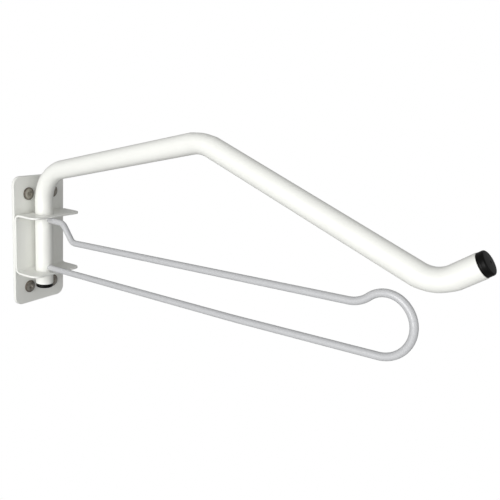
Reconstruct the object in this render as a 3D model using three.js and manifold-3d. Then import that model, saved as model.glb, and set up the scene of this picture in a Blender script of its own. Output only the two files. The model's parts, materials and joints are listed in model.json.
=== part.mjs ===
// Bicycle wall rack. A flat plate is screwed to the wall, a U-shaped bracket on it carries the pivot, and a
// bent tube arm with a wire loop under it swivels in the bracket's two ears.
//
// Millimetres. X points right when facing the wall, Y into the wall, Z up.
// The origin is the centre of the wall plate's back face.
import * as THREE from 'three';
import { mergeVertices } from 'three/addons/utils/BufferGeometryUtils.js';
import Module from 'manifold-3d';

// ---- driving dimensions ----

// wall plate
const plateWidth = 83;
const plateHeight = 165;
const plateThickness = 4;
const plateCorner = 11;

// pivot bracket, one bent strip
const bracketWidth = 78.6;
const bracketX = -2.2; // its middle, from the plate's middle
const sheetThickness = 2.5;
const earGap = 71; // between the ears' inner faces
const bracketCentre = -0.9; // height of the middle of that gap
const earDepth = 36.5; // from the plate's front face to the ears' front edge
const earCorner = 9.5;
const bracketBend = 4; // inside radius of the two bends

// pivot
const pivotX = -8.8;
const pivotGap = 3.5; // between the bracket's web and the back of the tube
const pivotClearance = 0.5; // all round the tube in the ears' holes

// arm tube, sizes of the runs between the virtual corners of its centre line
const tubeDiameter = 22;
const tubeWall = 2;
const tubeBend = 44; // centre line radius at the knee and the apex
const heelBend = 32; // the same at the heel, before the tip
const kneeHeight = 87.2; // where the upright's and the rise's centre lines meet
const riseLength = 254.6;
const riseAngle = 14.2;
const fallLength = 264.3;
const fallAngle = 19.8;
const tipLength = 39.7;
const tipAngle = 36.7;
const stubLength = 14.9; // upright tube below the lower ear
const restSwing = -5; // degrees, the arm's heading at rest from straight out, towards +X

// wire loop
const wireDiameter = 7.5;
const wireBend = 10;
const wireSlack = 0.9; // between the wire's lower end and the lower ear
const wireHeadroom = 0.5; // between the wire's upper end and the upper ear
const dropReach = 36.5; // where the upper end turns down, from the pivot axis
const dropAngle = 50;
const upperRunHeight = 6.4; // the upper run's line where it would cross the pivot axis
const upperRunAngle = 3.07;
const lowerRunAngle = 2;
const lowerBowReach = 300; // the lower run bows slightly here, from the pivot axis
const lowerBowRadius = 500;
const lowerFarAngle = 2.9; // the lower run's slope beyond the bow
const bulbReach = 455; // centre of the round end, from the pivot axis
const bulbRadius = 29;
const crownRadius = 24; // the round end's tighter arc, between the neck and the round end
const crownEnd = 60; // degrees above level, seen from the centre, where the two arcs meet
const neckRadius = 29;

// plastic closures
const capHead = 6.5;
const capInset = 0.4; // how much narrower than the tube the cap's head is
const capRound = 1.6;
const capStem = 16;
const plugHead = 5.4;
const plugInset = 0.5; // the same for the plug
const plugStem = 12;
const stemBore = 5; // blind hollow in each closure's stem

// wall screws
const screwMiddleX = 1.5; // middle of the screw pattern, from the plate's middle
const screwSpacingX = 40;
const screwSpacingZ = 121;
const screwDiameter = 8;
const screwClearance = 0.5; // all round the screw in the plate's hole
const screwLength = 22; // under the head
const screwPoint = 6;
const headDiameter = 15.8;
const headHeight = 2.6;
const headRim = 0.8; // upright edge under the head's dome
const socketFlats = 5; // hexagon socket, across its flats
const socketDepth = 1.8;

const fitGap = 0.3; // between pieces that touch or are fixed to each other

// ---- derived places ----

const tubeRadius = tubeDiameter / 2;
const tubeInner = tubeRadius - tubeWall;
const wireRadius = wireDiameter / 2;
const webBack = -plateThickness - fitGap;
const webFront = webBack - sheetThickness;
const pivotY = webFront - pivotGap - tubeRadius;
const upperEarUnder = bracketCentre + earGap / 2;
const lowerEarTop = bracketCentre - earGap / 2;
const tubeFoot = lowerEarTop - sheetThickness - stubLength;
const upperEndHeight = upperEarUnder - wireHeadroom - wireRadius;
const lowerRunHeight = lowerEarTop + wireSlack + wireRadius;

// ---- solids ----

const wasm = await Module();
wasm.setup();

const radians = THREE.MathUtils.degToRad;

function toSolid(geometry) {
  const bare = geometry.clone();
  bare.deleteAttribute('normal');
  bare.deleteAttribute('uv');
  const welded = mergeVertices(bare, 1e-4);
  const vertProperties = new Float32Array(welded.attributes.position.array);
  const triVerts = new Uint32Array(welded.index.array);
  return new wasm.Manifold(new wasm.Mesh({ numProp: 3, vertProperties, triVerts }));
}

function toGeometry(solid) {
  const { vertProperties, triVerts } = solid.getMesh();
  const geometry = new THREE.BufferGeometry();
  geometry.setAttribute('position', new THREE.BufferAttribute(vertProperties, 3));
  geometry.setIndex(new THREE.BufferAttribute(triVerts, 1));
  geometry.computeVertexNormals();
  return geometry;
}

// A rectangle with rounded corners, in the shape's own plane.
function roundedRectangle(left, right, low, high, corner) {
  const shape = new THREE.Shape();
  shape.absarc(right - corner, high - corner, corner, 0, Math.PI / 2);
  shape.absarc(left + corner, high - corner, corner, Math.PI / 2, Math.PI);
  shape.absarc(left + corner, low + corner, corner, Math.PI, 1.5 * Math.PI);
  shape.absarc(right - corner, low + corner, corner, 1.5 * Math.PI, 2 * Math.PI);
  return shape;
}

function extrude(shape, depth, curveSegments) {
  return new THREE.ExtrudeGeometry(shape, { depth, curveSegments, bevelEnabled: false });
}

// A cylinder along Y between two places, which opens the plate's holes.
function rodAlongY(radius, fromY, toY, x, z, sides) {
  const rod = new THREE.CylinderGeometry(radius, radius, toY - fromY, sides);
  return rod.translate(x, (fromY + toY) / 2, z);
}

// ---- routes of tube and wire ----

// A line in the arm's upright plane, made of straight runs and round turns. Places are (out, up) from the
// pivot axis, and headings are degrees above level. It has a station at each end of a run and a few along
// each turn, so a swept section is only stepped where it bends.
class BentRoute extends THREE.Curve {
  constructor(out, up, heading) {
    super();
    this.out = out;
    this.up = up;
    this.heading = heading;
    this.stations = [];
    this.mark();
  }

  mark() {
    const slope = radians(this.heading);
    const point = new THREE.Vector3(0, -this.out, this.up);
    const tangent = new THREE.Vector3(0, -Math.cos(slope), Math.sin(slope));
    this.stations.push({ point, tangent });
  }

  run(length) {
    this.out += length * Math.cos(radians(this.heading));
    this.up += length * Math.sin(radians(this.heading));
    this.mark();
    return this;
  }

  // Turns up by a positive angle and down by a negative one.
  turn(radius, angle, stepAngle) {
    const steps = Math.ceil(Math.abs(angle) / stepAngle);
    const side = Math.sign(angle);
    const start = radians(this.heading);
    const centreOut = this.out - side * radius * Math.sin(start);
    const centreUp = this.up + side * radius * Math.cos(start);
    const firstHeading = this.heading;
    for (let step = 1; step <= steps; step += 1) {
      this.heading = firstHeading + (angle * step) / steps;
      const now = radians(this.heading);
      this.out = centreOut + side * radius * Math.sin(now);
      this.up = centreUp - side * radius * Math.cos(now);
      this.mark();
    }
    return this;
  }

  locate(t) {
    const last = this.stations.length - 1;
    const index = Math.min(Math.floor(t * last + 1e-6), last - 1);
    const share = THREE.MathUtils.clamp(t * last - index, 0, 1);
    return { before: this.stations[index], after: this.stations[index + 1], share };
  }

  getPoint(t) {
    const { before, after, share } = this.locate(t);
    return before.point.clone().lerp(after.point, share);
  }

  getTangent(t) {
    const { before, after, share } = this.locate(t);
    return before.tangent.clone().lerp(after.tangent, share).normalize();
  }

  getPointAt(u) {
    return this.getPoint(u);
  }

  getTangentAt(u) {
    return this.getTangent(u);
  }
}

function sweep(route, outerRadius, innerRadius, sides) {
  const section = new THREE.Shape().absarc(0, 0, outerRadius, 0, 2 * Math.PI);
  if (innerRadius > 0) {
    section.holes.push(new THREE.Path().absarc(0, 0, innerRadius, 0, 2 * Math.PI));
  }
  const steps = route.stations.length - 1;
  const curveSegments = sides / 2; // a full arc is divided twice as finely
  return new THREE.ExtrudeGeometry(section, { steps, extrudePath: route, curveSegments });
}

const tangentLength = (radius, angle) => radius * Math.tan(radians(angle) / 2);

function armRoute() {
  const kneeTurn = 90 - riseAngle;
  const apexTurn = riseAngle + fallAngle;
  const heelTurn = fallAngle + tipAngle;
  const knee = tangentLength(tubeBend, kneeTurn);
  const apex = tangentLength(tubeBend, apexTurn);
  const heel = tangentLength(heelBend, heelTurn);
  return new BentRoute(0, tubeFoot, 90)
    .run(kneeHeight - tubeFoot - knee)
    .turn(tubeBend, -kneeTurn, 8)
    .run(riseLength - knee - apex)
    .turn(tubeBend, -apexTurn, 8)
    .run(fallLength - apex - heel)
    .turn(heelBend, heelTurn, 8)
    .run(tipLength - heel);
}

// The upper end leaves the tube level, drops, and runs out to a neck that rises over the crown into the round
// end. The neck touches the upper run's line, the crown touches the neck and the round end, and the round end
// touches the far half of the lower run, which comes back to the tube with one slight bow.
function wireRoute() {
  const insideTube = fitGap - Math.sqrt(tubeInner ** 2 - wireRadius ** 2);
  const upperSlope = radians(upperRunAngle);
  const lowerSlope = radians(lowerRunAngle);
  const farSlope = radians(lowerFarAngle);

  const cornerFall = upperEndHeight - upperRunHeight - dropReach * Math.tan(upperSlope);
  const dropRun = cornerFall / (Math.tan(radians(dropAngle)) + Math.tan(upperSlope));
  const landing = dropReach + dropRun;
  const dropLength = dropRun / Math.cos(radians(dropAngle));
  const firstBend = tangentLength(wireBend, dropAngle);
  const secondBend = tangentLength(wireBend, dropAngle + upperRunAngle);

  const bowHeight = lowerRunHeight + lowerBowReach * Math.tan(lowerSlope);
  const farRise = (bulbReach - lowerBowReach) * Math.tan(farSlope);
  const bulbUp = bowHeight + farRise + bulbRadius / Math.cos(farSlope);
  const crownOut = bulbReach + (bulbRadius - crownRadius) * Math.cos(radians(crownEnd));
  const crownUp = bulbUp + (bulbRadius - crownRadius) * Math.sin(radians(crownEnd));
  const lineAbove = upperRunHeight + crownOut * Math.tan(upperSlope) - crownUp;
  const lineToCrown = lineAbove * Math.cos(upperSlope);
  const crownAlong = crownOut / Math.cos(upperSlope) - lineAbove * Math.sin(upperSlope);
  const neckTurn = Math.acos((lineToCrown + neckRadius) / (neckRadius + crownRadius));
  const neckAlong = crownAlong - (neckRadius + crownRadius) * Math.sin(neckTurn);
  const upperRun = neckAlong - landing / Math.cos(upperSlope) - secondBend;

  const neckDegrees = THREE.MathUtils.radToDeg(neckTurn);
  const crownTurn = upperRunAngle + neckDegrees + 90 - crownEnd;
  const bulbTurn = 90 + crownEnd - lowerFarAngle;
  const bow = tangentLength(lowerBowRadius, lowerFarAngle - lowerRunAngle);
  const farLength = (bulbReach - lowerBowReach) / Math.cos(farSlope) + bulbRadius * Math.tan(farSlope);
  const nearLength = (lowerBowReach - insideTube) / Math.cos(lowerSlope);
  return new BentRoute(insideTube, upperEndHeight, 0)
    .run(dropReach - insideTube - firstBend)
    .turn(wireBend, -dropAngle, 12)
    .run(dropLength - firstBend - secondBend)
    .turn(wireBend, dropAngle + upperRunAngle, 12)
    .run(upperRun)
    .turn(neckRadius, neckDegrees, 12)
    .turn(crownRadius, -crownTurn, 10)
    .turn(bulbRadius, -bulbTurn, 10)
    .run(farLength - bow)
    .turn(lowerBowRadius, lowerRunAngle - lowerFarAngle, 1)
    .run(nearLength - bow);
}

// ---- pieces ----

const screwPlaces = [
  ['screw_upper_left', screwMiddleX - screwSpacingX / 2, screwSpacingZ / 2],
  ['screw_upper_right', screwMiddleX + screwSpacingX / 2, screwSpacingZ / 2],
  ['screw_lower_left', screwMiddleX - screwSpacingX / 2, -screwSpacingZ / 2],
  ['screw_lower_right', screwMiddleX + screwSpacingX / 2, -screwSpacingZ / 2],
];

function wallPlate() {
  const outline = roundedRectangle(
    -plateWidth / 2, plateWidth / 2, -plateHeight / 2, plateHeight / 2, plateCorner);
  const blank = extrude(outline, plateThickness, 5).rotateX(Math.PI / 2);
  let plate = toSolid(blank);
  for (const [, x, z] of screwPlaces) {
    const radius = screwDiameter / 2 + screwClearance;
    plate = plate.subtract(toSolid(rodAlongY(radius, -plateThickness - 1, 1, x, z, 28)));
  }
  return toGeometry(plate);
}

// The strip's side view is a U of even thickness, swept across its width. A prism with round front
// corners trims the ears, and one drill opens both pivot holes.
function pivotBracket() {
  const back = -webBack;
  const front = plateThickness + earDepth;
  const inner = back + sheetThickness;
  const outerBend = bracketBend + sheetThickness;
  const top = upperEarUnder + sheetThickness;
  const bottom = lowerEarTop - sheetThickness;
  const half = Math.PI / 2;
  const profile = new THREE.Shape();
  profile.moveTo(front, bottom);
  profile.lineTo(front, lowerEarTop);
  profile.absarc(inner + bracketBend, lowerEarTop + bracketBend, bracketBend, -half, -2 * half, true);
  profile.absarc(inner + bracketBend, upperEarUnder - bracketBend, bracketBend, 2 * half, half, true);
  profile.lineTo(front, upperEarUnder);
  profile.lineTo(front, top);
  profile.absarc(back + outerBend, top - outerBend, outerBend, half, 2 * half);
  profile.absarc(back + outerBend, bottom + outerBend, outerBend, 2 * half, 3 * half);
  const outward = new THREE.Vector3(0, -1, 0);
  const upward = new THREE.Vector3(0, 0, 1);
  const across = new THREE.Vector3(-1, 0, 0);
  const turned = new THREE.Matrix4().makeBasis(outward, upward, across);
  const left = bracketX - bracketWidth / 2;
  const right = bracketX + bracketWidth / 2;
  const strip = extrude(profile, bracketWidth, 4).applyMatrix4(turned).translate(right, 0, 0);

  const behind = 2 * earCorner;
  const plan = roundedRectangle(left, right, -front, behind, earCorner);
  const trim = extrude(plan, top - bottom + 2, 5).translate(0, 0, bottom - 1);

  const holeRadius = tubeRadius + pivotClearance;
  const drill = new THREE.CylinderGeometry(holeRadius, holeRadius, top - bottom + 2, 40)
    .rotateX(Math.PI / 2)
    .translate(pivotX, pivotY, (top + bottom) / 2);
  return toGeometry(toSolid(strip).intersect(toSolid(trim)).subtract(toSolid(drill)));
}

// A wire hole goes through the tube's outward wall only.
function wireHole(up, slope) {
  const radius = wireRadius + fitGap;
  const length = 2 * tubeRadius;
  return new THREE.CylinderGeometry(radius, radius, length, 24)
    .translate(0, -length / 2, 0)
    .rotateX(-radians(slope))
    .translate(0, 0, up);
}

function armTube() {
  const tube = toSolid(sweep(armRoute(), tubeRadius, tubeInner, 28))
    .subtract(toSolid(wireHole(upperEndHeight, 0)))
    .subtract(toSolid(wireHole(lowerRunHeight, lowerRunAngle)));
  return toGeometry(tube);
}

// A turned closure along +Y: the stem sits in the tube below zero and the rounded head stands above it.
function closure(headRadius, head, round, stem) {
  const stemRadius = tubeInner - fitGap;
  const profile = new THREE.Path();
  profile.moveTo(0, fitGap - stemBore);
  profile.lineTo(stemRadius - tubeWall, fitGap - stemBore);
  profile.lineTo(stemRadius - tubeWall, -stem);
  profile.lineTo(stemRadius, -stem);
  profile.lineTo(stemRadius, fitGap);
  profile.lineTo(headRadius, fitGap);
  profile.lineTo(headRadius, head - round);
  profile.absarc(headRadius - round, head - round, round, 0, Math.PI / 2);
  profile.lineTo(0, head);
  return new THREE.LatheGeometry(profile.getPoints(2), 28);
}

// A dome-headed screw with a hexagon socket, along +Y, with the underside of its head at zero. The dome is a
// quarter of an ellipse on a short upright rim.
function wallScrew() {
  const headRadius = headDiameter / 2;
  const shankRadius = screwDiameter / 2;
  const rise = headHeight - headRim;
  const profile = new THREE.Path();
  profile.moveTo(0, -headHeight);
  profile.absellipse(0, -headRim, headRadius, rise, -Math.PI / 2, 0);
  profile.lineTo(headRadius, 0);
  profile.lineTo(shankRadius, 0);
  profile.lineTo(shankRadius, screwLength - screwPoint);
  profile.lineTo(0, screwLength);
  const body = new THREE.LatheGeometry(profile.getPoints(4), 32);
  const corner = socketFlats / Math.sqrt(3);
  const socket = new THREE.CylinderGeometry(corner, corner, 2 * socketDepth, 6)
    .translate(0, -headHeight, 0);
  return toGeometry(toSolid(body).subtract(toSolid(socket)));
}

// ---- assembly ----

function piece(name, geometry, color, roughness, metalness) {
  const material = new THREE.MeshStandardMaterial({ color, roughness, metalness });
  const mesh = new THREE.Mesh(geometry, material);
  mesh.name = name;
  return mesh;
}

const whitePaint = 0xf2f2ee;
const greyPaint = 0xbfc0c4;
const blackPlastic = 0x1c1e1b;
const dullSteel = 0x7d776c;

const rack = new THREE.Group();
rack.add(piece('wall_plate', wallPlate(), whitePaint, 0.45, 0));
rack.add(piece('pivot_bracket', pivotBracket(), whitePaint, 0.45, 0));

for (const [name, x, z] of screwPlaces) {
  const screw = piece(name, wallScrew(), dullSteel, 0.4, 0.9);
  screw.position.set(x, -plateThickness - fitGap, z);
  rack.add(screw);
}

const arm = new THREE.Group();
arm.position.set(pivotX, pivotY, 0);
arm.rotation.z = radians(restSwing);
rack.add(arm);
arm.add(piece('arm_tube', armTube(), whitePaint, 0.4, 0));
arm.add(piece('wire_loop', sweep(wireRoute(), wireRadius, 0, 14), greyPaint, 0.45, 0));

const tipEnd = armRoute().stations.at(-1);
const tipCap = piece(
  'tip_cap', closure(tubeRadius - capInset, capHead, capRound, capStem), blackPlastic, 0.4, 0);
tipCap.position.copy(tipEnd.point);
tipCap.quaternion.setFromUnitVectors(new THREE.Vector3(0, 1, 0), tipEnd.tangent);
arm.add(tipCap);

const footPlug = piece(
  'foot_plug', closure(tubeRadius - plugInset, plugHead, capRound, plugStem), blackPlastic, 0.4, 0);
footPlug.position.set(0, 0, tubeFoot);
footPlug.rotation.x = -Math.PI / 2;
arm.add(footPlug);

export default rack;
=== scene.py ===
# Bicycle wall rack: a plate and a bent bracket screwed to the wall, and a tube arm with a wire loop that
# swivels in the bracket. Every piece here is a fine surface that stands for the plain solid of its name.
# Piece sizes are in millimetres, in the frame's axes: X right, Y into the wall, Z up.
import json
import math

import bmesh
import bpy
import numpy as np
from mathutils import Matrix, Vector
from mathutils.geometry import delaunay_2d_cdt


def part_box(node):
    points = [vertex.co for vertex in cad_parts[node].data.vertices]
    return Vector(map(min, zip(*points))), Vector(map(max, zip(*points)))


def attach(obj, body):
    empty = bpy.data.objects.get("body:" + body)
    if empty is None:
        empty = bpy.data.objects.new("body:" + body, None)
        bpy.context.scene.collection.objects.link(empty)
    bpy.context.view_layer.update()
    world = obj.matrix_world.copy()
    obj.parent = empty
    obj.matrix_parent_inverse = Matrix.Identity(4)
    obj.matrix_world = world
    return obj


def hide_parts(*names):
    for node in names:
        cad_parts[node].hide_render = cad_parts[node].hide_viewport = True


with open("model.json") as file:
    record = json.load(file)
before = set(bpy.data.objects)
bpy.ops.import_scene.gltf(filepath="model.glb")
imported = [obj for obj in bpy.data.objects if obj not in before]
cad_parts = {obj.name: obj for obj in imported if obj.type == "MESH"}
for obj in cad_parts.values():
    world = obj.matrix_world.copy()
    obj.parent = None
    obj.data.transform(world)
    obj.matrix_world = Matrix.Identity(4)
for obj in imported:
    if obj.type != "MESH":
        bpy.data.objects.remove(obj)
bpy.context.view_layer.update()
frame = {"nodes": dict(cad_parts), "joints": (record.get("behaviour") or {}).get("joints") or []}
mm = 0.001
mergeDistance = 0.002 * mm
print("frame loaded:", ", ".join(sorted(frame["nodes"])))


# Quads between neighbouring rows and columns of a grid. A closed direction joins its last line to its first.
def gridFaces(rows, columns, closedRows=False, closedColumns=False):
    index = np.arange(rows * columns).reshape(rows, columns)
    if closedRows:
        index = np.vstack([index, index[:1]])
    if closedColumns:
        index = np.hstack([index, index[:, :1]])
    corners = [index[:-1, :-1], index[:-1, 1:], index[1:, 1:], index[1:, :-1]]
    return np.stack(corners, axis=-1).reshape(-1, 4)


# A grid of points with its quads, and each point's place in the piece's own measure (all in millimetres).
def gridPatch(points, own, closedRows=False, closedColumns=False):
    rows, columns = points.shape[:2]
    return points.reshape(-1, 3), gridFaces(rows, columns, closedRows, closedColumns), own.reshape(-1, 3)


# Joins patches into one closed mesh: shared edges are merged and the faces turned outwards.
def makePiece(name, patches, body, node, material):
    starts = np.cumsum([0] + [len(points) for points, _, _ in patches[:-1]])
    points = np.concatenate([points for points, _, _ in patches]) * mm
    own = np.concatenate([own for _, _, own in patches]) * mm
    faces = [face for start, (_, quads, _) in zip(starts, patches) for face in (quads + start).tolist()]
    mesh = bpy.data.meshes.new(name)
    mesh.from_pydata(points.tolist(), [], faces)
    mesh.attributes.new("ownPlace", "FLOAT_VECTOR", "POINT").data.foreach_set("vector", own.ravel())
    shell = bmesh.new()
    shell.from_mesh(mesh)
    bmesh.ops.remove_doubles(shell, verts=shell.verts, dist=mergeDistance)
    bmesh.ops.recalc_face_normals(shell, faces=shell.faces)
    openEdges = sum(1 for edge in shell.edges if not edge.is_manifold)
    shell.to_mesh(mesh)
    shell.free()
    mesh.shade_smooth()
    mesh.materials.append(material)
    piece = bpy.data.objects.new(name, mesh)
    bpy.context.scene.collection.objects.link(piece)
    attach(piece, body)
    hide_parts(node)
    print(f"{name}: {len(mesh.polygons)} faces, {openEdges} open edges")
    return piece


# A socket that adds Math nodes when it meets Python's operators.
class Value:
    def __init__(self, material, socket):
        self.material = material
        self.socket = socket

    def maths(self, operation, other):
        return self.material.node("ShaderNodeMath", {"operation": operation}, {0: self, 1: other})

    def __add__(self, other):
        return self.maths("ADD", other)

    __radd__ = __add__

    def __mul__(self, other):
        return self.maths("MULTIPLY", other)

    __rmul__ = __mul__


# A material with a Principled shader, and the one way of adding a node: settings first, then sockets.
class Finish:
    def __init__(self, name, **constants):
        self.material = bpy.data.materials.new(name)
        self.material.use_nodes = True
        self.tree = self.material.node_tree
        self.shader = self.tree.nodes["Principled BSDF"]
        for socket, value in constants.items():
            self.shader.inputs[socket.replace("_", " ")].default_value = value

    def node(self, kind, settings=None, inputs=None, output=0):
        made = self.tree.nodes.new(kind)
        for name, setting in (settings or {}).items():
            if name == "stops":
                for stop, (position, shade) in zip(made.color_ramp.elements, setting):
                    stop.position = position
                    stop.color = (shade, shade, shade, 1)
            else:
                setattr(made, name, setting)
        for name, value in (inputs or {}).items():
            self.connect(value, made.inputs[name])
        return Value(self, made.outputs[output])

    def connect(self, value, socket):
        if isinstance(value, Value):
            self.tree.links.new(value.socket, socket)
        else:
            socket.default_value = value

    def feed(self, **inputs):
        for name, value in inputs.items():
            self.connect(value, self.shader.inputs[name.replace("_", " ")])
        return self.material

    def objectPlace(self):
        return self.node("ShaderNodeTexCoord", output="Object")

    def ownPlace(self):
        return self.node("ShaderNodeAttribute", {"attribute_name": "ownPlace"}, output="Vector")

    def stretched(self, place, scale):
        return self.node("ShaderNodeMapping", inputs={"Vector": place, "Scale": scale})

    def noise(self, place, scale, detail=2.0, roughness=0.5):
        inputs = {"Vector": place, "Scale": scale, "Detail": detail, "Roughness": roughness}
        return self.node("ShaderNodeTexNoise", inputs=inputs)

    def ramp(self, value, low, high):
        return self.node("ShaderNodeValToRGB", {"stops": [(low, 0), (high, 1)]}, {"Fac": value})

    def blend(self, factor, first, second):
        inputs = {0: factor, 6: first, 7: second}
        return self.node("ShaderNodeMix", {"data_type": "RGBA"}, inputs, output=2)

    def bump(self, height, distance, strength, below=None):
        inputs = {"Height": height, "Distance": distance, "Strength": strength}
        if below is not None:
            inputs["Normal"] = below
        return self.node("ShaderNodeBump", inputs=inputs)


paint = {
    "base": (0.86, 0.865, 0.825, 1),
    "soiled": (0.79, 0.79, 0.75, 1),
    "rubbed": (0.68, 0.68, 0.66, 1),
    "roughness": 0.34,
    "peelSize": 1.3,  # millimetres between the coat's fine dimples
    "waveSize": 7.0,
    "peelDepth": 0.035,
    "waveDepth": 0.05,
}


# Powder coat: a fine orange peel over long slow waves, with a faint cloudiness and a few rubbed specks.
def powderCoat(name):
    coat = Finish(name, Coat_Weight=0.3, Coat_Roughness=0.22, Specular_IOR_Level=0.5)
    place = coat.objectPlace()
    cloud = coat.ramp(coat.noise(place, 26, 4, 0.6), 0.42, 0.78)
    streaks = coat.noise(coat.stretched(place, (1.0, 1.0, 0.16)), 420, 3, 0.65)
    rubs = coat.ramp(streaks, 0.71, 0.8) * coat.ramp(coat.noise(place, 38), 0.55, 0.7)
    peel = coat.noise(place, 1 / (paint["peelSize"] * mm), 2.5, 0.55)
    waves = coat.noise(place, 1 / (paint["waveSize"] * mm), 1.5)
    clean = coat.blend(cloud * 0.35, paint["base"], paint["soiled"])
    colour = coat.blend(rubs * 0.4, clean, paint["rubbed"])
    rolling = coat.bump(waves, paint["waveDepth"] * mm, 0.6)
    relief = coat.bump(peel, paint["peelDepth"] * mm, 0.5, rolling)
    dull = paint["roughness"] + 0.08 * cloud + 0.1 * peel + 0.2 * rubs
    return coat.feed(Base_Color=colour, Roughness=dull, Normal=relief)


wireCoat = {
    "base": (0.52, 0.525, 0.535, 1),
    "dusty": (0.475, 0.48, 0.49, 1),
    "roughness": 0.3,
    "drawLine": 0.008,  # depth of the lines left along the wire, in millimetres
    "drift": 0.05,
}


# Dipped plastic over wire: lines run along it, and the skin is slightly uneven from dip to dip.
def coatedWire(name):
    skin = Finish(name, Coat_Weight=0.4, Coat_Roughness=0.18, Specular_IOR_Level=0.5)
    own = skin.ownPlace()
    lines = skin.noise(skin.stretched(own, (1.0, 0.02, 1.0)), 900, 3, 0.6)
    drift = skin.noise(skin.stretched(own, (0.4, 1.0, 0.4)), 95, 2)
    grain = skin.noise(skin.objectPlace(), 1900, 2)
    mottle = skin.ramp(skin.noise(skin.objectPlace(), 60, 4, 0.6), 0.4, 0.75)
    colour = skin.blend(mottle * 0.45, wireCoat["base"], wireCoat["dusty"])
    uneven = skin.bump(drift, wireCoat["drift"] * mm, 0.5)
    drawn = skin.bump(lines, wireCoat["drawLine"] * mm, 0.5, uneven)
    relief = skin.bump(grain, 0.004 * mm, 0.4, drawn)
    dull = wireCoat["roughness"] + 0.1 * mottle + 0.08 * lines
    return skin.feed(Base_Color=colour, Roughness=dull, Normal=relief)


mouldedPlastic = {
    "base": (0.0022, 0.0024, 0.0021, 1),
    "scuffed": (0.007, 0.0062, 0.006, 1),
    "roughness": 0.33,
    "grainSize": 0.55,
    "grainDepth": 0.022,
}


# Moulded black plastic: a fine spark-eroded grain, with grey scuffs where hands and bicycles rub it.
def blackPlastic(name):
    plastic = Finish(name, Specular_IOR_Level=0.13)
    place = plastic.objectPlace()
    grain = plastic.noise(place, 1 / (mouldedPlastic["grainSize"] * mm), 3, 0.6)
    scuffs = plastic.ramp(plastic.noise(plastic.stretched(place, (1.0, 0.35, 1.0)), 330, 5, 0.7), 0.58, 0.72)
    flow = plastic.noise(place, 110, 3)
    colour = plastic.blend(scuffs * 0.55 + flow * 0.12, mouldedPlastic["base"], mouldedPlastic["scuffed"])
    relief = plastic.bump(grain, mouldedPlastic["grainDepth"] * mm, 0.55)
    dull = mouldedPlastic["roughness"] + 0.14 * scuffs + 0.1 * flow
    return plastic.feed(Base_Color=colour, Roughness=dull, Normal=relief)


screwSteel = {
    "bright": (0.56, 0.53, 0.47, 1),
    "dull": (0.27, 0.25, 0.22, 1),
    "stain": (0.10, 0.075, 0.055, 1),
    "ringSpacing": 0.45,
    "ringDepth": 0.012,
    "rimShadeRadius": 7.9,  # where the painted shade is darkest, at the head's rim
}


# Dull plated steel: rings from the header on the screw's face, cloudy plating, brown stain in places and
# painted dark shade that grows towards the head's rim, where the head meets the plate.
def platedSteel(name):
    steel = Finish(name, Metallic=0.85, Specular_IOR_Level=0.5)
    own = steel.ownPlace()
    across = steel.node("ShaderNodeVectorMath", {"operation": "MULTIPLY"}, {0: own, 1: (1, 1, 0)})
    radius = steel.node("ShaderNodeVectorMath", {"operation": "LENGTH"}, {0: across}, output="Value")
    turns = 2 * math.pi / (screwSteel["ringSpacing"] * mm)
    rings = steel.node("ShaderNodeMath", {"operation": "SINE"}, {0: radius * turns})
    place = steel.objectPlace()
    plating = steel.ramp(steel.noise(place, 240, 5, 0.65), 0.3, 0.72)
    stain = steel.ramp(steel.noise(place, 150, 6, 0.7), 0.56, 0.7)
    plated = steel.blend(plating, screwSteel["dull"], screwSteel["bright"])
    # Painted shade: the colour darkens towards the head's rim, where the head meets the plate. The stain
    # colour paints both the real stains and this painted shade.
    rimShade = steel.ramp(radius * (1 / (screwSteel["rimShadeRadius"] * mm)), 0.7, 0.97)
    colour = steel.blend(stain * 0.4 + rimShade * 0.8, plated, screwSteel["stain"])
    pitted = steel.bump(steel.noise(place, 1500, 4, 0.6), 0.02 * mm, 0.5)
    relief = steel.bump(rings, screwSteel["ringDepth"] * mm, 0.4, pitted)
    return steel.feed(Base_Color=colour, Roughness=0.34 + 0.16 * plating + 0.25 * stain, Normal=relief)


whitePaint = powderCoat("whitePowderCoat")
greyWire = coatedWire("greyCoatedWire")
blackCap = blackPlastic("blackPlastic")
dullSteel = platedSteel("screwSteel")
print("finishes made")


# A round-cornered rectangle walked anticlockwise, as places and outward directions. Each corner is a quarter
# circle about its centre, and each straight run between two corners is divided evenly.
def roundedOutline(half, corner, arcSteps, runStep):
    places, outward = [], []
    signs = [(1, 1), (-1, 1), (-1, -1), (1, -1)]
    for turn, sign in enumerate(signs):
        angle = (turn + np.linspace(0, 1, arcSteps + 1)) * math.pi / 2
        direction = np.stack([np.cos(angle), np.sin(angle)], axis=1)
        centre = np.array(sign) * (half - corner)
        arc = centre + corner * direction
        nextCentre = np.array(signs[(turn + 1) % 4]) * (half - corner)
        runEnd = nextCentre + corner * direction[-1]
        runs = max(2, round(np.linalg.norm(runEnd - arc[-1]) / runStep))
        share = np.linspace(0, 1, runs + 1)[1:-1, None]
        places += [arc, arc[-1] + share * (runEnd - arc[-1])]
        outward += [direction, np.repeat(direction[-1:], runs - 1, axis=0)]
    return np.concatenate(places), np.concatenate(outward)


# A hole's edge: places on a circle, with the directions that point into the hole.
def holeOutline(centre, radius, steps):
    angle = np.arange(steps) * 2 * math.pi / steps
    direction = np.stack([np.cos(angle), np.sin(angle)], axis=1)
    return np.array(centre) + radius * direction, -direction


# Distance from the blank's nearest edge, below zero on the metal: the box's distance, less its corner
# radius, and each hole's radius less the distance to its centre.
def edgeDistance(places, half, corner, holes):
    beyond = np.abs(places) - (half - corner)
    outside = np.linalg.norm(np.maximum(beyond, 0), axis=1) + np.minimum(beyond.max(axis=1), 0) - corner
    inHoles = [radius - np.linalg.norm(places - np.array(centre), axis=1) for centre, radius in holes]
    return np.max([outside, *inHoles], axis=0)


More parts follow.
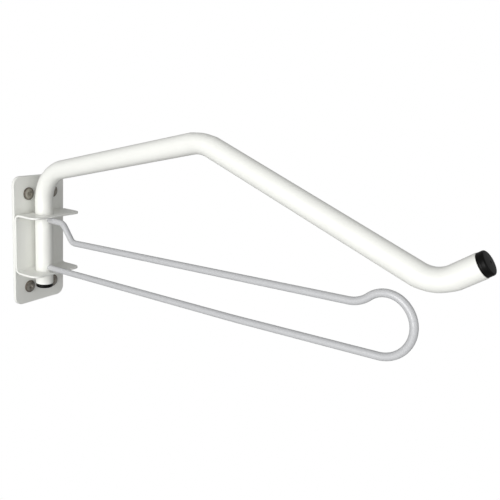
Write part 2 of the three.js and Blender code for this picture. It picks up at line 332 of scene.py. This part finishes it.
# A sheet of metal. The flat blank lies in (along, across); place(blank, height) bends it and lifts a point
# off its middle surface. Both faces are triangles between the edges, and each edge is carried round a
# rim: a quarter circle, the cut wall and another quarter circle.
def sheetPatches(size, place):
    half = np.array(size["half"])
    holes = size["holes"]
    thick, edge, corner = size["thickness"] / 2, size["edge"], size["corner"]
    loops = [roundedOutline(half - edge, corner - edge, size["arcSteps"], size["spacing"])]
    loops += [holeOutline(centre, radius + edge, size["holeSteps"]) for centre, radius in holes]
    inner = [points - size["hold"] * outward for points, outward in loops]

    across = np.linspace(-half[1], half[1], round(2 * half[1] / size["spacing"]) + 1)
    rows, columns = np.meshgrid(size["rows"], across, indexing="ij")
    field = np.stack([rows.ravel(), columns.ravel()], axis=1)
    clear = edgeDistance(field, half, corner, holes) < -edge - 2 * size["hold"]
    points = np.concatenate([points for points, _ in loops] + inner + [field[clear]])
    edges, start = [], 0
    for loop, _ in loops:
        index = np.arange(len(loop))
        edges += np.stack([start + index, start + (index + 1) % len(loop)], axis=1).tolist()
        start += len(loop)
    found = delaunay_2d_cdt([Vector(point) for point in points], edges, [], 0, 1e-5)
    blank = np.array([tuple(point) for point in found[0]])
    triangles = np.array(found[2])
    middles = blank[triangles].mean(axis=1)
    solid = np.ones(len(middles), bool)
    for centre, radius in holes:
        solid &= np.linalg.norm(middles - np.array(centre), axis=1) > radius + edge
    triangles = triangles[solid]

    own = np.column_stack([blank, np.zeros(len(blank))])
    patches = [(place(blank, np.full(len(blank), height)), triangles, own) for height in (-thick, thick)]
    quarter = np.linspace(0, math.pi / 2, 5)
    reach = edge * np.concatenate([np.sin(quarter), np.cos(quarter)])
    rise = (thick - edge) * np.repeat([-1, 1], 5) + edge * np.concatenate([-np.cos(quarter), np.sin(quarter)])
    for loop, outward in loops:
        spots = loop[:, None, :] + reach[None, :, None] * outward[:, None, :]
        heights = np.broadcast_to(rise, spots.shape[:2])
        rim = place(spots.reshape(-1, 2), heights.ravel()).reshape(*spots.shape[:2], 3)
        own = np.concatenate([spots, heights[..., None]], axis=2)
        patches.append(gridPatch(rim, own, closedRows=True))
    return patches


plateLow, plateHigh = [np.array(corner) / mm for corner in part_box("wall_plate")]
wallPlate = {
    "half": ((plateHigh[2] - plateLow[2]) / 2, (plateHigh[0] - plateLow[0]) / 2),
    "thickness": plateHigh[1] - plateLow[1],
    "corner": 11.0,
    "edge": 0.7,
    "hold": 0.5,
    "arcSteps": 14,
    "holeSteps": 40,
    "spacing": 7.0,
    "rows": np.linspace(-75, 75, 21),  # heights of the triangles' corners
    "holes": [((z, x), 4.5) for z in (-60.5, 60.5) for x in (-18.5, 21.5)],
}


# The plate stays flat: a blank's along is height, its across is sideways.
def flatPlace(blank, height):
    middle = (plateLow[1] + plateHigh[1]) / 2
    return np.stack([blank[:, 1], middle - height, blank[:, 0]], axis=1)


makePiece("wallPlate", sheetPatches(wallPlate, flatPlace), "wall_bracket", "wall_plate",
          whitePaint)

bracketLow, bracketHigh = [np.array(corner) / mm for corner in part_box("pivot_bracket")]
pivot = np.array(frame["joints"][0]["pos_m"]) / mm
bracketBend = {
    "sheet": 2.5,
    "insideRadius": 4.0,
    "bendRows": 9,
}
bendRadius = bracketBend["insideRadius"] + bracketBend["sheet"] / 2
bendLength = bendRadius * math.pi / 2
webMiddle = bracketHigh[1] - bracketBend["sheet"] / 2
webHalf = (bracketHigh[2] - bracketLow[2]) / 2 - bracketBend["sheet"] - bracketBend["insideRadius"]
earLength = webMiddle - bendRadius - bracketLow[1]
holeAlong = webHalf + bendLength + webMiddle - bendRadius - pivot[1]
holeAcross = pivot[0] - (bracketLow[0] + bracketHigh[0]) / 2
bendRows = webHalf + bendLength * np.linspace(0, 1, bracketBend["bendRows"])
earRows = webHalf + bendLength + earLength * np.array([0.08, 0.3, 0.52, 0.74, 0.92])
upperRows = np.concatenate([webHalf * np.array([0.25, 0.5, 0.75, 0.97]), bendRows, earRows])
pivotBracket = {
    "half": (webHalf + bendLength + earLength, (bracketHigh[0] - bracketLow[0]) / 2),
    "thickness": bracketBend["sheet"],
    "corner": 9.5,
    "edge": 0.45,
    "hold": 0.4,
    "arcSteps": 14,
    "holeSteps": 56,
    "spacing": 5.0,
    "rows": np.concatenate([-upperRows[::-1], [0.0], upperRows]),
    "holes": [((side * holeAlong, holeAcross), 11.5) for side in (-1, 1)],
}


# The bracket's strip is bent twice. Along the web it climbs, round each bend it turns by its length over the
# bend radius, and past the bend it runs straight out of the wall. Height counts towards the inside of the U.
def bracketPlace(blank, height):
    along, side = np.abs(blank[:, 0]), np.sign(blank[:, 0])
    turned = np.clip((along - webHalf) / bendRadius, 0, math.pi / 2)
    straight = np.maximum(along - webHalf - bendLength, 0)
    climb = np.minimum(along, webHalf) + bendRadius * np.sin(turned)
    y = webMiddle - bendRadius * (1 - np.cos(turned)) - straight - height * np.cos(turned)
    z = (bracketLow[2] + bracketHigh[2]) / 2 + side * (climb - height * np.sin(turned))
    x = (bracketLow[0] + bracketHigh[0]) / 2 + blank[:, 1]
    return np.stack([x, y, z], axis=1)


makePiece("pivotBracket", sheetPatches(pivotBracket, bracketPlace), "wall_bracket", "pivot_bracket",
          whitePaint)


screw = {
    "head": 7.9,
    "height": 2.6,
    "rim": 0.8,
    "edge": 0.25,
    "socket": 2.5,  # half its flats' distance
    "socketDepth": 1.7,
    "shank": 3.5,
    "thread": 4.0,
    "core": 2.95,
    "pitch": 2.6,
    "ridgeHalf": 0.26,  # half the ridge's foot, as a share of the pitch
    "plain": 3.5,
    "point": 6.0,
    "length": 22.0,
    "around": 72,
    "turned": {"upper_left": 11, "upper_right": 37, "lower_left": 49, "lower_right": 22},  # degrees
}


# A domed screw about its own axis, with its head's underside at zero and out of the wall positive. The
# socket's outline is a soft hexagon: half its flats' distance over the high-power sum of its three sides'
# cosines. The dome is a quarter of an ellipse over its rim. The thread is a ridge that climbs one pitch a
# turn: its height falls evenly to nothing at a quarter of the pitch from its crest.
def screwSurface(turned):
    around = np.linspace(0, 2 * math.pi, screw["around"], endpoint=False)
    facing = around[None, :] - math.radians(turned) + np.arange(3)[:, None] * math.pi / 3
    hexagon = screw["socket"] / (np.abs(np.cos(facing)) ** 30).sum(axis=0) ** (1 / 30)
    rim, rise = screw["rim"], screw["height"] - screw["rim"]

    socketShare = np.array([0, 0.6, 0.97, 1.0, 1.0, 1.0, 1.03, 1.08])[:, None]
    socketRadius = socketShare * hexagon
    domeAt = rim + rise * np.sqrt(1 - (socketRadius[-1] / screw["head"]) ** 2)
    floorHeight = screw["height"] - screw["socketDepth"] - np.array([0.5, 0.2, 0.0])
    socketHeight = np.broadcast_to(floorHeight[:, None], (3, len(around)))
    wallShare = np.array([0.04, 0.5, 0.9, 0.97, 1.0])[:, None]
    wallHeight = floorHeight[-1] + wallShare * (domeAt - floorHeight[-1])

    steps = np.linspace(0, 1, 15)[1:, None]
    start = np.arcsin(socketRadius[-1] / screw["head"])
    slope = start + steps * (math.pi / 2 - start)
    domeRadius, domeHeight = screw["head"] * np.sin(slope), rim + rise * np.cos(slope)
    quarter = np.linspace(0, math.pi / 2, 5)[:, None]
    edge, flat = screw["edge"], np.ones((1, len(around)))
    rimRadius = (screw["head"] - edge + edge * np.cos(quarter)) * flat
    rimHeight = (edge - edge * np.sin(quarter)) * flat

    depth = np.linspace(0, screw["length"], 120)[:, None]
    phase = depth / screw["pitch"] - around / (2 * math.pi)
    ridge = np.clip(1 - np.abs(phase % 1 - 0.5) / screw["ridgeHalf"], 0, 1)
    cut = np.clip((depth - screw["plain"]) / 2, 0, 1)
    threaded = screw["core"] + (screw["thread"] - screw["core"]) * ridge
    taper = np.clip((screw["length"] - depth) / screw["point"], 0, 1) ** 0.8
    shankRadius = (screw["shank"] * (1 - cut) + threaded * cut) * taper
    shankHeight = np.broadcast_to(-depth, shankRadius.shape)

    radius = np.concatenate([socketRadius, domeRadius, rimRadius, shankRadius])
    height = np.concatenate([socketHeight, wallHeight, domeHeight, rimHeight, shankHeight])
    return np.stack([radius * np.cos(around), radius * np.sin(around), height], axis=2)


for corner, turned in screw["turned"].items():
    node = "screw_" + corner
    low, high = [np.array(end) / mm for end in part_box(node)]
    headUnder = high[1] - screw["length"]
    own = screwSurface(turned)
    placed = np.stack([(low[0] + high[0]) / 2 + own[..., 0], headUnder - own[..., 2],
                       (low[2] + high[2]) / 2 + own[..., 1]], axis=2)
    name = "wallScrew" + corner.title().replace("_", "")
    makePiece(name, [gridPatch(placed, own, closedColumns=True)], "wall_bracket", node,
              dullSteel)

# Everything on the arm stands in one upright plane through the pivot.
arm = {
    "swing": -5.0,  # degrees from straight out of the wall, at rest
    "foot": -53.8,
    "knee": 87.2,
    "rise": 254.6,
    "riseAngle": 14.2,
    "fall": 264.3,
    "fallAngle": 19.8,
    "tip": 39.7,
    "tipAngle": 36.7,
    "bend": 44.0,
    "heelBend": 32.0,
    "radius": 11.0,
    "wall": 2.0,
    "edge": 0.35,
    "flattened": {"knee": 1.1, "apex": 0.8, "heel": 0.9},
    "widened": 0.35,  # share of the flattening by which a bend's sides spread
    "around": 96,
    "runStep": 6.0,
    "turnStep": 1.5,  # degrees
}
swing = math.radians(arm["swing"])
outward = np.array([math.sin(swing), -math.cos(swing), 0.0])
upward = np.array([0.0, 0.0, 1.0])
sideways = np.cross(outward, upward)


# Stations along a bent route in the arm's plane: out, up, heading, length so far and how much a bend presses
# its outer side in. A leg is a straight run, then a turn of some radius and angle, upwards if positive. Its
# places follow the circle, and the pressing swells from nothing at each end of the turn.
def bentRoute(out, up, heading, legs, runStep, turnStep):
    stations = [np.array([[out, up, heading, 0.0, 0.0]])]
    travelled = 0.0
    for run, radius, angle, pressed in legs:
        share = np.linspace(0, 1, math.ceil(run / runStep) + 1)[1:, None]
        moved = share * run * np.array([[math.cos(heading), math.sin(heading), 0, 1, 0]])
        stations.append(np.array([[out, up, heading, travelled, 0]]) + moved)
        out, up, travelled = out + run * math.cos(heading), up + run * math.sin(heading), travelled + run
        if radius == 0:
            continue
        side, turn = math.copysign(1, angle), math.radians(angle)
        share = np.linspace(0, 1, math.ceil(abs(angle) / turnStep) + 1)[1:]
        now = heading + turn * share
        turnOut = out + side * radius * (np.sin(now) - math.sin(heading))
        turnUp = up - side * radius * (np.cos(now) - math.cos(heading))
        swell = side * pressed * np.minimum(1, 1.5 * np.sin(math.pi * share))
        length = travelled + radius * abs(turn) * share
        stations.append(np.stack([turnOut, turnUp, now, length, swell], axis=1))
        out, up, heading, travelled = turnOut[-1], turnUp[-1], heading + turn, length[-1]
    return np.concatenate(stations)


# Carries a round section along stations: place + radius × (cos around × normal + sin around × sideways).
# In a bend the outer side is pressed in by the square of how far it faces outwards.
def carry(stations, radius, slide, around, widened=0.0):
    out, up, heading, length, pressed = stations.T
    along = np.cos(heading)[:, None] * outward + np.sin(heading)[:, None] * upward
    normal = -np.sin(heading)[:, None] * outward + np.cos(heading)[:, None] * upward
    centre = pivot * [1, 1, 0] + out[:, None] * outward + up[:, None] * upward + slide[:, None] * along
    facing = np.maximum(-np.sign(pressed)[:, None] * np.cos(around), 0)
    amount = np.abs(pressed)[:, None]
    reach = radius[:, None] - amount * facing ** 2 + widened * amount * np.sin(around) ** 2
    ring = np.cos(around)[:, None] * normal[:, None, :] + np.sin(around)[:, None] * sideways
    points = centre[:, None, :] + reach[..., None] * ring
    lengths = np.broadcast_to((length + slide)[:, None], reach.shape)
    own = np.stack([radius[:, None] * np.cos(around), lengths, radius[:, None] * np.sin(around)], axis=2)
    return points, own


# From a virtual corner back to where its round turn starts: the radius times the half angle's tangent.
def tangentLength(radius, angle):
    return radius * math.tan(math.radians(angle) / 2)


apexAngle = arm["riseAngle"] + arm["fallAngle"]
heelAngle = arm["fallAngle"] + arm["tipAngle"]
kneeCut = tangentLength(arm["bend"], 90 - arm["riseAngle"])
apexCut = tangentLength(arm["bend"], apexAngle)
heelCut = tangentLength(arm["heelBend"], heelAngle)
armLegs = [
    (arm["knee"] - arm["foot"] - kneeCut, arm["bend"], arm["riseAngle"] - 90, arm["flattened"]["knee"]),
    (arm["rise"] - kneeCut - apexCut, arm["bend"], -apexAngle, arm["flattened"]["apex"]),
    (arm["fall"] - apexCut - heelCut, arm["heelBend"], heelAngle, arm["flattened"]["heel"]),
    (arm["tip"] - heelCut, 0, 0, 0),
]
armStations = bentRoute(0.0, arm["foot"], math.pi / 2, armLegs, arm["runStep"], arm["turnStep"])


# The tube's skin goes out along its outside, over a softened lip, back along its bore and over the other lip.
def tubeSurface(stations):
    last = len(stations) - 1
    quarter = np.linspace(0, math.pi / 2, 5)[1:]
    index = np.concatenate([np.arange(last + 1), np.full(4, last), np.arange(last, -1, -1), np.zeros(4, int)])
    outer, edge = arm["radius"], arm["edge"]
    skin = np.full(last + 1, outer)
    bore = np.full(last + 1, outer - arm["wall"])
    lip = outer - edge + edge * np.cos(quarter)
    radius = np.concatenate([skin, lip, bore, lip[::-1]])
    slide = np.zeros(len(index))
    slide[0], slide[last] = edge, -edge
    slide[last + 1:last + 5] = edge * (np.sin(quarter) - 1)
    slide[-4:] = edge * (1 - np.sin(quarter[::-1]))
    around = np.linspace(0, 2 * math.pi, arm["around"], endpoint=False)
    points, own = carry(stations[index], radius, slide, around, arm["widened"])
    return gridPatch(points, own, closedRows=True, closedColumns=True)


makePiece("armTube", [tubeSurface(armStations)], "arm", "arm_tube", whitePaint)

wire = {
    "radius": 3.75,
    "bend": 10.0,
    "start": -7.8,  # both ends stop inside the tube, just short of its far wall
    "upperEnd": 30.35,
    "dropReach": 36.5,
    "dropAngle": 50.0,
    "upperRun": 6.4,  # height of the upper run's line over the pivot axis
    "upperAngle": 3.07,
    "lowerRun": -31.75,
    "lowerAngle": 2.0,
    "bowReach": 300.0,  # where the lower run bows slightly
    "bowRadius": 500.0,
    "farAngle": 2.9,
    "bulbReach": 455.0,
    "bulbRadius": 29.0,
    "crownRadius": 24.0,
    "crownEnd": 60.0,  # degrees above level where the crown passes into the round end
    "neckRadius": 29.0,
    "around": 48,
    "runStep": 5.0,
    "turnStep": 2.0,  # degrees
}


# The wire leaves the tube level, drops, runs out to a neck, rises over the crown into the round end and comes
# back with one slight bow. The neck's circle touches the upper run's line and the crown's circle, the crown
# touches the round end from inside, and the round end touches the lower run's far line.
def wireStations():
    upper, lower, far = [math.radians(wire[name]) for name in ("upperAngle", "lowerAngle", "farAngle")]
    bulb, crown, neck, meeting = wire["bulbRadius"], wire["crownRadius"], wire["neckRadius"], wire["crownEnd"]
    cornerFall = wire["upperEnd"] - wire["upperRun"] - wire["dropReach"] * math.tan(upper)
    dropRun = cornerFall / (math.tan(math.radians(wire["dropAngle"])) + math.tan(upper))
    dropLength = dropRun / math.cos(math.radians(wire["dropAngle"]))
    firstBend = tangentLength(wire["bend"], wire["dropAngle"])
    secondBend = tangentLength(wire["bend"], wire["dropAngle"] + wire["upperAngle"])
    farReach = wire["bulbReach"] - wire["bowReach"]
    bowHeight = wire["lowerRun"] + wire["bowReach"] * math.tan(lower)
    bulbUp = bowHeight + farReach * math.tan(far) + bulb / math.cos(far)
    crownOut = wire["bulbReach"] + (bulb - crown) * math.cos(math.radians(meeting))
    crownUp = bulbUp + (bulb - crown) * math.sin(math.radians(meeting))
    lineAbove = wire["upperRun"] + crownOut * math.tan(upper) - crownUp
    neckTurn = math.acos((lineAbove * math.cos(upper) + neck) / (neck + crown))
    neckAlong = crownOut / math.cos(upper) - lineAbove * math.sin(upper) - (neck + crown) * math.sin(neckTurn)
    landing = (wire["dropReach"] + dropRun) / math.cos(upper)
    neckDegrees = math.degrees(neckTurn)
    bow = tangentLength(wire["bowRadius"], wire["farAngle"] - wire["lowerAngle"])
    farLength = farReach / math.cos(far) + bulb * math.tan(far)
    nearLength = (wire["bowReach"] - wire["start"]) / math.cos(lower)
    return bentRoute(wire["start"], wire["upperEnd"], 0.0, [
        (wire["dropReach"] - wire["start"] - firstBend, wire["bend"], -wire["dropAngle"], 0),
        (dropLength - firstBend - secondBend, wire["bend"], wire["dropAngle"] + wire["upperAngle"], 0),
        (neckAlong - landing - secondBend, neck, neckDegrees, 0),
        (0.0, crown, meeting - 90 - wire["upperAngle"] - neckDegrees, 0),
        (0.0, bulb, wire["farAngle"] - 90 - meeting, 0),
        (farLength - bow, wire["bowRadius"], wire["lowerAngle"] - wire["farAngle"], 0),
        (nearLength - bow, 0, 0, 0),
    ], wire["runStep"], wire["turnStep"])


# The wire's skin, closed at both ends by rings that shrink to the centre line.
def wireSurface(stations):
    last = len(stations) - 1
    index = np.concatenate([[0], np.arange(last + 1), [last]])
    radius = np.concatenate([[0.0], np.full(last + 1, wire["radius"]), [0.0]])
    around = np.linspace(0, 2 * math.pi, wire["around"], endpoint=False)
    points, own = carry(stations[index], radius, np.zeros(last + 3), around)
    return gridPatch(points, own, closedColumns=True)


makePiece("wireLoop", [wireSurface(wireStations())], "arm", "wire_loop", greyWire)

closures = {
    "around": 72,
    "gap": 0.12,
    "cap": {"radius": 10.6, "head": 6.5, "round": 1.7, "stem": 16.0, "crown": 0.35},
    "plug": {"radius": 10.5, "head": 5.4, "round": 1.6, "stem": 12.0, "crown": 0.3},
    "stemRadius": 8.7,
    "seam": 0.12,  # depth of the moulding seam round the head
    "seamAt": 2.2,  # the seam's height over the tube's end
    "gateRadius": 1.5,
    "gateDepth": 0.3,
}


# A turned closure: along its axis from the tube's end, a point stands at height along it and radius away.
# The profile starts at the middle of the face, with the dimple of its moulding gate, goes over the slightly
# crowned face, round the edge, down the side past its seam, and in to the plain stem.
def closureSurface(size, origin, axis):
    head, rounding, seam = size["head"], size["round"], closures["seam"]
    gate = closures["gateRadius"]
    flat = size["radius"] - rounding
    faceRadius = np.concatenate([gate * np.array([0, 0.7, 0.85, 1.0]), np.linspace(gate + 0.3, flat, 8)])
    faceHeight = head - size["crown"] * (faceRadius / flat) ** 2
    faceHeight[:2] -= closures["gateDepth"]
    faceHeight[2] -= closures["gateDepth"] / 2
    quarter = np.linspace(0, math.pi / 2, 9)[1:]
    edgeRadius = flat + rounding * np.sin(quarter)
    edgeHeight = head - size["crown"] - rounding * (1 - np.cos(quarter))
    seamAt = closures["seamAt"]
    sideHeight = np.array([seamAt + 0.5, seamAt + 0.2, seamAt, seamAt - 0.2, seamAt - 0.5, 0.6, 0.3])
    sideRadius = size["radius"] - seam * np.array([0, 0.2, 1, 0.2, 0, 0, 0.3])
    stem, gap, stemEnd = closures["stemRadius"], closures["gap"], -size["stem"]
    backHeight = np.array([gap, gap, -0.8, -2, stemEnd + 1, stemEnd, stemEnd])
    backRadius = np.array([size["radius"] - 0.35, stem, stem, stem, stem, stem - 0.8, 0])
    radius = np.concatenate([faceRadius, edgeRadius, sideRadius, backRadius])[:, None]
    height = np.concatenate([faceHeight, edgeHeight, sideHeight, backHeight])[:, None]
    around = np.linspace(0, 2 * math.pi, closures["around"], endpoint=False)
    acrossAxis = np.cross(axis, sideways)
    spokes = np.cos(around)[:, None] * acrossAxis + np.sin(around)[:, None] * sideways
    points = origin + height[..., None] * axis + radius[..., None] * spokes
    heights = np.broadcast_to(height, (len(height), len(around)))
    own = np.stack([radius * np.cos(around), radius * np.sin(around), heights], axis=2)
    return gridPatch(points, own, closedColumns=True)


tipOut, tipUp, tipHeading = armStations[-1, :3]
tipPlace = pivot * [1, 1, 0] + tipOut * outward + tipUp * upward
tipAxis = math.cos(tipHeading) * outward + math.sin(tipHeading) * upward
makePiece("tipCap", [closureSurface(closures["cap"], tipPlace, tipAxis)], "arm", "tip_cap",
          blackCap)
footPlace = pivot * [1, 1, 0] + arm["foot"] * upward
makePiece("footPlug", [closureSurface(closures["plug"], footPlace, -upward)], "arm", "foot_plug",
          blackCap)

studio = {
    "floorHeight": -0.42,
    "floorSize": 14.0,
    "floorColour": (0.52, 0.52, 0.52, 1),
    "floorDark": (0.48, 0.48, 0.48, 1),
    "floorWhite": (1.0, 1.0, 1.0, 1),
    "surround": 0.365,
    "backdrop": 1.0,
    "lights": {
        "left": {"place": (-1.75, -0.36, 0.22), "size": 1.2, "power": 27.5},
        "front": {"place": (-0.5, -1.9, 0.2), "size": 1.6, "power": 4.6},
    },
    "target": (0.0, -0.25, 0.0),
}


# The floor is pale and plain: matt grey where it sends light back to the rack, white where it is seen.
def paleFloor():
    floor = Finish("paleFloor", Roughness=0.85, Specular_IOR_Level=0.1)
    cloud = floor.noise(floor.objectPlace(), 1.4, 3)
    clouded = floor.blend(cloud * 0.25, studio["floorColour"], studio["floorDark"])
    material = floor.feed(Base_Color=clouded)
    white = floor.node("ShaderNodeEmission", inputs={"Color": studio["floorWhite"], "Strength": 1.0})
    seen = floor.node("ShaderNodeLightPath")
    matt = Value(floor, floor.shader.outputs[0])
    mixed = floor.node("ShaderNodeMixShader", inputs={0: seen, 1: matt, 2: white})
    floor.tree.links.new(mixed.socket, floor.tree.nodes["Material Output"].inputs["Surface"])
    return material


half = studio["floorSize"] / 2
floorCorners = [(-half, -half), (half, -half), (half, half), (-half, half)]
floorMesh = bpy.data.meshes.new("floor")
floorMesh.from_pydata([(x, y, studio["floorHeight"]) for x, y in floorCorners], [], [(0, 1, 2, 3)])
floorMesh.materials.append(paleFloor())
floor = bpy.data.objects.new("floor", floorMesh)
bpy.context.scene.collection.objects.link(floor)

for name, light in studio["lights"].items():
    lamp = bpy.data.lights.new(name, "AREA")
    lamp.shape = "SQUARE"
    lamp.size = light["size"]
    lamp.energy = light["power"]
    holder = bpy.data.objects.new(name, lamp)
    holder.location = light["place"]
    aim = Vector(studio["target"]) - Vector(light["place"])
    holder.rotation_euler = aim.to_track_quat("-Z", "Y").to_euler()
    bpy.context.scene.collection.objects.link(holder)

# The surround lights the rack softly, and looks white where it is seen directly.
world = bpy.data.worlds.new("studio")
world.use_nodes = True
bpy.context.scene.world = world
worldNodes, worldLinks = world.node_tree.nodes, world.node_tree.links
surround = worldNodes["Background"]
surround.inputs["Strength"].default_value = studio["surround"]
surround.inputs["Color"].default_value = (1, 1, 1, 1)
backdrop = worldNodes.new("ShaderNodeBackground")
backdrop.inputs["Strength"].default_value = studio["backdrop"]
backdrop.inputs["Color"].default_value = (1, 1, 1, 1)
lightPath = worldNodes.new("ShaderNodeLightPath")
seen = worldNodes.new("ShaderNodeMixShader")
worldLinks.new(lightPath.outputs["Is Camera Ray"], seen.inputs[0])
worldLinks.new(surround.outputs[0], seen.inputs[1])
worldLinks.new(backdrop.outputs[0], seen.inputs[2])
worldLinks.new(seen.outputs[0], worldNodes["World Output"].inputs["Surface"])
bpy.context.scene.view_settings.view_transform = "Standard"

view = {
    "place": (-0.5704, -0.6236, 0.1966),
    "heading": 58.11,  # degrees from straight into the wall, towards the right
    "tilt": -16.69,
    "roll": 3.99,
    "lens": 46.17,
    "shift": (0.08, 0.07),
}


# The camera looks along its heading and tilt, and is then rolled about that line.
def aimCamera():
    heading, tilt, roll = [math.radians(view[name]) for name in ("heading", "tilt", "roll")]
    forward = Vector((math.sin(heading) * math.cos(tilt), math.cos(heading) * math.cos(tilt), math.sin(tilt)))
    level = Vector((math.cos(heading), -math.sin(heading), 0))
    upright = level.cross(forward)
    right = level * math.cos(roll) + upright * math.sin(roll)
    above = upright * math.cos(roll) - level * math.sin(roll)
    lens = bpy.data.cameras.new("camera")
    lens.lens = view["lens"]
    lens.shift_x, lens.shift_y = view["shift"]
    lens.clip_start = 0.01
    camera = bpy.data.objects.new("camera", lens)
    axes = Matrix((right, above, -forward)).transposed()
    camera.matrix_world = Matrix.Translation(view["place"]) @ axes.to_4x4()
    bpy.context.scene.collection.objects.link(camera)
    bpy.context.scene.camera = camera


aimCamera()
